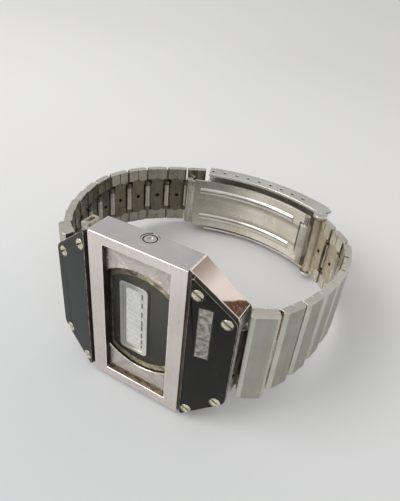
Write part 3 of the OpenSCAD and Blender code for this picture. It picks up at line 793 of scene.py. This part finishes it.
def catch_link():
    """The catch block at the end of the inner blade, shaped like a link."""
    link = Link(HEAD_12, 9, 1, CATCH_HEAD)
    link.x, link.y = hinge(HEAD_12, 10)
    return link


CATCH = catch_link()
TAIL = (CLASP_MID[0] - TAIL_RADIUS * math.sin(TAIL_ARC / BLADE_RADIUS),
        CLASP_MID[1] + TAIL_RADIUS * math.cos(TAIL_ARC / BLADE_RADIUS))


def blade_face(normal, at):
    """A ribbed blade between the catch block and a rolled tail."""
    radius = math.hypot(at.x - CLASP_MID[0], at.y - CLASP_MID[1])
    if math.hypot(at.x - TAIL[0], at.y - TAIL[1]) < 1.0:
        return "bar"
    u, v = CATCH.uv(at)
    if u < LINK_PITCH - 0.2 and -0.95 < v < 1.75 and radius > BLADE_RADIUS + 0.9:
        key = CATCH.face(normal, at)
        return "bar" if key in ("cap", "link_inner") else key
    return "rib" if radius < BLADE_RADIUS - 0.03 and at.x > -16 else "blade"


def cover_face(normal, at):
    """Plain outside; paler and duller inside, as painted light; painted shade in the holes of its
    walls.
    """
    wall_in, hole_low, hole_high = 8.1, 40.5, 42.2
    away = Vector((at.x - CLASP_MID[0], at.y - CLASP_MID[1], 0))
    if abs(at.z) > wall_in and abs(normal.z) < 0.5 and hole_low < away.length < hole_high:
        return "inner_wall"
    faces_in = normal.dot(away.normalized()) < -0.3
    wall_faces_in = normal.z * at.z < 0 and abs(normal.z) > FACING
    return "clasp_inside" if faces_in or wall_faces_in else "cover"


def dress_all():
    dress("case_body", case_face, bevel=0.2, edge="edge", keep=case_edge)
    dress("plate_12", "lacquer_12", bevel=0.1, edge="worn_edge", keep=plate_edge)
    dress("plate_6", "lacquer", bevel=0.1, edge="worn_edge", keep=plate_edge)
    dress("plate_screws_12", screw_face(-1), bevel=0.14, edge="screw", keep=every_edge)
    dress("plate_screws_6", screw_face(1), bevel=0.14, edge="screw", keep=every_edge)
    for label, mirror, heads in SIDES:
        for i in range(len(heads)):
            link = Link(heads, i, mirror)
            dress("link_%s_%02d" % (label, i + 1), link.face, bevel=0.1, edge="bevel",
                  keep=link.edge)
    dress("clasp_blade_inner", blade_face, bevel=0.08, edge="rib", keep=every_edge)
    dress("clasp_blade_middle", "clasp_inside", bevel=0.08, edge="clasp_inside")
    dress("clasp_cover", cover_face, bevel=0.12, edge="edge", keep=every_edge)
    for name in ("clasp_pin", "clasp_spring_bar", "spring_bar_12", "spring_bar_6"):
        dress(name, "back", bevel=0.05, edge="back")
    dress("case_back", "back", bevel=0.12, edge="back")
    dress("pusher", pusher_face, bevel=0.1, edge="inner_wall")
    dress("corrector_block", corrector_face, bevel=0.1, edge="cream")
    dress("corrector_pin", "slot", bevel=0.08, edge="cream")
    dress("name_strip", "silver", bevel=0.05, edge="worn_edge")
    dress("gasket_ring", "crust", bevel=0.05, edge="crust")
    dress("lcd_frame", "lcd_rim", bevel=0.06, edge="lcd_rim")
    plain = {"lcd_panel": "lcd", "dial_mask": "dial", "window_glass": "window",
             "back_gasket": "rubber", "pusher_seal": "rubber", "contact_strips": "rubber",
             "cell_strap": "screw", "contact_leaf": "screw", "movement_holder": "carrier",
             "circuit_board": "board", "quartz_can": "back", "button_cells": "back"}
    for name, material in plain.items():
        dress(name, material)


# Small pieces that the CAD leaves to the looks
def add_piece(name, verts, faces, material, body, smooth=False):
    """verts in the dial's frame, in millimetres"""
    mesh = bpy.data.meshes.new(name)
    mesh.from_pydata([row(*v) for v in verts], [], faces)
    mesh.materials.append(M[material])
    for poly in mesh.polygons:
        poly.use_smooth = smooth
    mesh.update()
    piece = bpy.data.objects.new(name, mesh)
    bpy.context.scene.collection.objects.link(piece)
    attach(piece, body)


def add_tube(verts, faces, rings, turned):
    """Adds a closed tube through rings of points; turned says that they run the other way."""
    base, count = len(verts), len(rings[0])
    walls = []
    for r in range(len(rings) - 1):
        p, q = base + r * count, base + (r + 1) * count
        for k in range(count):
            m = (k + 1) % count
            walls.append([p + k, p + m, q + m, q + k])
    last = base + (len(rings) - 1) * count
    walls.append([last + k for k in range(count)])
    walls.append([base + k for k in reversed(range(count))])
    faces += [wall[::-1] for wall in walls] if turned else walls
    for ring in rings:
        verts += ring


def prisms(outlines, y0, y1):
    """Straight prisms on outlines in x and z, from y0 back to y1."""
    verts, faces = [], []
    for outline in outlines:
        n, base = len(outline), len(verts)
        verts += [(x, y0, z) for x, z in outline] + [(x, y1, z) for x, z in outline]
        faces.append([base + k for k in range(n)])
        faces.append([base + n + k for k in reversed(range(n))])
        for k in range(n):
            m = (k + 1) % n
            faces.append([base + m, base + k, base + n + k, base + n + m])
    return verts, faces


def bar_outline(cx, cz, long_half, thick_half, along_z):
    """A display segment: a bar with pointed ends."""
    shoulder = long_half - thick_half
    points = [(-long_half, 0), (-shoulder, -thick_half), (shoulder, -thick_half),
              (long_half, 0), (shoulder, thick_half), (-shoulder, thick_half)]
    return [(cx + b, cz + a) if along_z else (cx + a, cz + b) for a, b in points]


# The display, which reads along z: its front in y, and the places of its marks in z
PANEL_FRONT = 1.8
DIGIT_SPOTS = (6.35, 4.2, 2.05, -0.1, -2.9, -5.05, -7.2)
COLON_SPOT = -1.5
FIGURE_RISE, STROKE_RISE, SUNK = 0.012, 0.016, 0.002
STROKE_SPOTS = (6.3, 4.2, 1.9, -0.3, -1.7, -3.6, -5.4, -7.0)


def make_display():
    """Faint figures of eight with all bars, and the dark strokes under them."""
    foot, top, half, thick, gap = 0.08, -3.05, 0.62, 0.13, 0.08
    middle, reach = (foot + top) / 2, (foot - top) / 4
    dot_half, dot_thick = 0.16, 0.15
    stroke_x, stroke_half, stroke_thick = 0.38, 0.70, 0.17
    bars = []
    for z in DIGIT_SPOTS:
        for x in (foot, middle, top):
            bars.append(bar_outline(x, z, half - gap, thick, True))
        for x in (middle + reach, middle - reach):
            for side in (-1, 1):
                bars.append(bar_outline(x, z + side * half, reach - gap, thick, False))
    for x in (middle - reach, middle + reach):
        bars.append(bar_outline(x, COLON_SPOT, dot_half, dot_thick, False))
    verts, faces = prisms(bars, PANEL_FRONT - FIGURE_RISE, PANEL_FRONT + SUNK)
    add_piece("display_figures", verts, faces, "digit", "case")
    strokes = [bar_outline(stroke_x, z, stroke_half, stroke_thick, True) for z in STROKE_SPOTS]
    verts, faces = prisms(strokes, PANEL_FRONT - STROKE_RISE, PANEL_FRONT + SUNK)
    add_piece("display_strokes", verts, faces, "dark_mark", "case")


def lumps(spots, rng):
    """Small uneven lumps: spots are (x, y, z, size)."""
    verts, faces = [], []
    rings, around, height, twist = 3, 6, 0.55, 0.4
    for x, y, z, size in spots:
        base = len(verts)
        stretch = [rng.uniform(0.7, 1.3) for _ in range(3)]
        verts.append((x, y - size * height * stretch[1], z))
        for r in range(1, rings + 1):
            a = math.pi / 2 * r / rings
            for k in range(around):
                b = 2 * math.pi * k / around + twist * r
                wobble = size * rng.uniform(0.8, 1.15)
                verts.append((x + wobble * stretch[0] * math.sin(a) * math.cos(b),
                              y - wobble * height * stretch[1] * math.cos(a),
                              z + wobble * stretch[2] * math.sin(a) * math.sin(b)))
        for k in range(around):
            m = (k + 1) % around
            faces.append([base, base + 1 + m, base + 1 + k])
            for r in range(rings - 1):
                p, q = base + 1 + r * around, base + 1 + (r + 1) * around
                faces.append([p + k, p + m, q + m, q + k])
        last = base + 1 + (rings - 1) * around
        faces.append([last + k for k in range(around)])
    return verts, faces


# Stretches of the sealing ring with crumbs: degrees from 6 o'clock towards 3 o'clock, and count
CRUMB_STRETCHES = ((246, 292, 80), (44, 66, 34), (86, 128, 12))
RING_INNER, RING_OUTER, RING_FACE = 10.75, 11.75, 1.7


def make_growth():
    """Brassy crumbs on the ring round the dial, and dirt at the recess's foot and one corner."""
    rng = random.Random(7)
    spots = []
    for low, high, count in CRUMB_STRETCHES:
        for _ in range(count):
            a = math.radians(rng.uniform(low, high))
            r = rng.uniform(RING_INNER, RING_OUTER)
            x, z = r * math.cos(a), r * math.sin(a)
            if abs(x) < 6.7:
                spots.append((x, RING_FACE, z, rng.uniform(0.05, 0.17)))
    verts, faces = lumps(spots, rng)
    add_piece("ring_growth", verts, faces, "crumb", "case", True)
    spots = []
    foot = -15.72
    for _ in range(120):
        x = rng.uniform(-6.9, 7.0)
        spots.append((x, RECESS_DEPTH, foot + abs(rng.gauss(0, 0.28)), rng.uniform(0.04, 0.13)))
    for _ in range(26):
        spots.append((rng.uniform(3.6, 7.0), RECESS_DEPTH, rng.uniform(13.2, 15.6),
                      rng.uniform(0.03, 0.09)))
    verts, faces = lumps(spots, rng)
    add_piece("recess_dirt", verts, faces, "dirt", "case", True)


def make_cross_pins():
    """The cross pins, which run on from the ears to just inside the folded ends."""
    sides, radius, start = 12, 0.28, 4.4
    for label, mirror, heads in SIDES:
        for i in range(1, len(heads)):
            link = Link(heads, i, mirror)
            steps = ((start, radius), (link.half - 0.3, radius), (link.half - 0.2, radius - 0.08))
            verts, faces = [], []
            for z_sign in (1, -1):
                rings = []
                for z, r in steps:
                    angles = [2 * math.pi * k / sides for k in range(sides)]
                    rings.append([link.point(r * math.cos(a), r * math.sin(a), z_sign * z)
                                  for a in angles])
                add_tube(verts, faces, rings, turned=z_sign * mirror < 0)
            name = "%s_%02d" % (label, i + 1)
            add_piece("cross_pin_" + name, verts, faces, "pin", "link_" + name)


def make_end_folds():
    """Curved tongues of the first links, which close the gap behind the ends of the case; their
    dark colour is painted shade for that gap.
    """
    steps, inner, outer = 14, 1.86, 2.02
    start, sweep = -52, 78  # degrees round the spring bar
    near, far = NOTCH_HALF + 0.05, 10.3
    for label, mirror, heads in SIDES:
        link = Link(heads, 0, mirror)
        verts, faces = [], []
        for z0, z1 in ((near, far), (-far, -near)):
            rings = []
            for k in range(steps + 1):
                a = math.radians(start + sweep * k / steps)
                rings.append([link.point(r * math.cos(a), r * math.sin(a), z)
                              for r, z in ((inner, z0), (outer, z0), (outer, z1), (inner, z1))])
            add_tube(verts, faces, rings, turned=mirror > 0)
        add_piece("end_fold_" + label, verts, faces, "pin", "link_%s_01" % label)


# Floor and light
FLOOR_HALF = 4.0  # metres
PAPER_NEAR, PAPER_FAR = -60, 500
# Painted light: the paper's tones from the near to the far place, in y, palest in the middle
PAPER_LIGHT_TONES = ((0.0, (0.59, 0.61, 0.62)), (0.05, (0.675, 0.685, 0.685)), (0.1, grey(0.70)),
               (0.2, grey(0.71)), (0.3, grey(0.685)), (0.45, grey(0.64)), (1.0, grey(0.60)))
SKY_LEVELS = ((0.0, 0.66), (0.5, 0.64), (0.95, 1.0))
# Soft regions of the surroundings: direction, inner and outer radius in degrees, colour
GLOWS = (
    (compass(-40, 30), 10, 50, (0.60, 0.60, 0.61)),
    (compass(45, 18), 12, 45, (0.90, 0.84, 0.80)),
    (compass(-128, 42), 10, 30, (1.7, 1.7, 1.68)),
)


def make_floor():
    """A large flat sheet of pale paper, with painted light and shade across it."""
    look = Look("paper", roughness=0.8)
    cloud = look.noise(look.coords(), 0.006, detail=3)
    grain = look.noise(look.coords(), 1.8, detail=3)
    across, depth, _ = look.axes()
    tone = look.ramp(look.smooth(depth, PAPER_NEAR, PAPER_FAR), PAPER_LIGHT_TONES)
    # Painted falloff of the light, darker to the side away from the lamp
    side = look.plus(look.times(across, 0.9), look.times(depth, 0.45))
    side_falloff = look.smooth(side, -80, 160, 1.02, 0.92)
    shade = look.times(side_falloff, look.smooth(cloud, *NOISE_SPAN, 0.98, 1.0))
    look.put("Base Color", look.tint(tone, shade))
    look.bump(grain, strength=0.1, depth=0.05)
    mesh = bpy.data.meshes.new("paper_floor")
    corners = [(x * FLOOR_HALF, y * FLOOR_HALF, 0) for x, y in ((-1, -1), (1, -1), (1, 1), (-1, 1))]
    mesh.from_pydata(corners, [], [(0, 1, 2, 3)])
    mesh.materials.append(look.mat)
    floor = bpy.data.objects.new("paper_floor", mesh)
    bpy.context.scene.collection.objects.link(floor)


def make_world():
    """A sky with three soft glows."""
    world = bpy.data.worlds.new("studio")
    world.use_nodes = True
    tree = Tree(world.node_tree)
    way = tree.nodes.new("ShaderNodeTexCoord").outputs["Generated"]
    rise = tree.split(way)[Z]
    colour = tree.ramp(rise, [(at, grey(level)) for at, level in SKY_LEVELS])
    for aim, inner, outer, glow in GLOWS:
        near = tree.smooth(tree.vector("DOT_PRODUCT", way, aim, "Value"),
                           math.cos(math.radians(outer)), math.cos(math.radians(inner)))
        colour = tree.mix(near, colour, glow)
    tree.links.new(colour, tree.nodes["Background"].inputs["Color"])
    bpy.context.scene.world = world


def area_light(name, direction, distance, size, power, colour):
    """A rectangular lamp that looks at the origin; distance and size in metres."""
    data = bpy.data.lights.new(name, "AREA")
    data.shape = "RECTANGLE"
    data.size, data.size_y = size
    data.energy = power
    data.color = colour
    lamp = bpy.data.objects.new(name, data)
    bpy.context.scene.collection.objects.link(lamp)
    lamp.location = direction * distance
    lamp.rotation_mode = "QUATERNION"
    lamp.rotation_quaternion = direction.to_track_quat("Z", "Y")


make_camera()
dress_all()
make_display()
make_growth()
make_cross_pins()
make_end_folds()
make_floor()
make_world()
area_light("window_light", compass(-122, 50), distance=1.3, size=(0.8, 0.6), power=5.0,
           colour=(1.0, 0.99, 0.97))
bpy.context.scene.view_settings.view_transform = "Standard"

bpy.context.view_layer.update()
